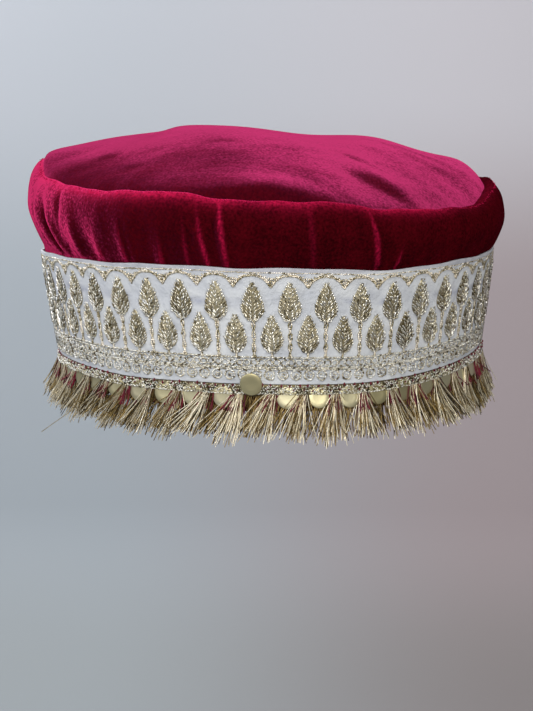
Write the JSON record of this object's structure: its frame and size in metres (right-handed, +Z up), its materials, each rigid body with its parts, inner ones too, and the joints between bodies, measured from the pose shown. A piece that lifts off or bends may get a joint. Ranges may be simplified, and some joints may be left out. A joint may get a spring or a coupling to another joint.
{
  "type": "embroidered velvet cap",
  "caption": "Soft round velvet cap with a domed tip, gathered side, embroidered ribbon band, sequin string and short metallic thread fringe round the hem.",
  "frame": {"origin": "centre of the head opening, in the plane of the velvet hem, where a head holds the cap", "axes": "+Z up through the middle of the tip, -Y towards the front of the cap, +X to the right as seen from the front"},
  "size_m": [0.1949, 0.2023, 0.1094],
  "materials": {
    "velvet": "crimson pile velvet with a bright sheen at grazing angles",
    "ribbon": "white woven cloth with raised pale gold metallic thread embroidery",
    "gold_braid": "braid of pale gold metallic thread with crimson thread in it",
    "gold_foil": "metallised pale gold sequin foil, satin",
    "gold_thread": "loose pale gold metallic thread"
  },
  "bodies": {
    "root": {"crown_tip": "velvet", "crown_side": "velvet", "ribbon_band": "ribbon", "fringe_braid": "gold_braid", "sequin_string": "gold_foil", "fringe": "gold_thread"}
  },
  "joints": []
}
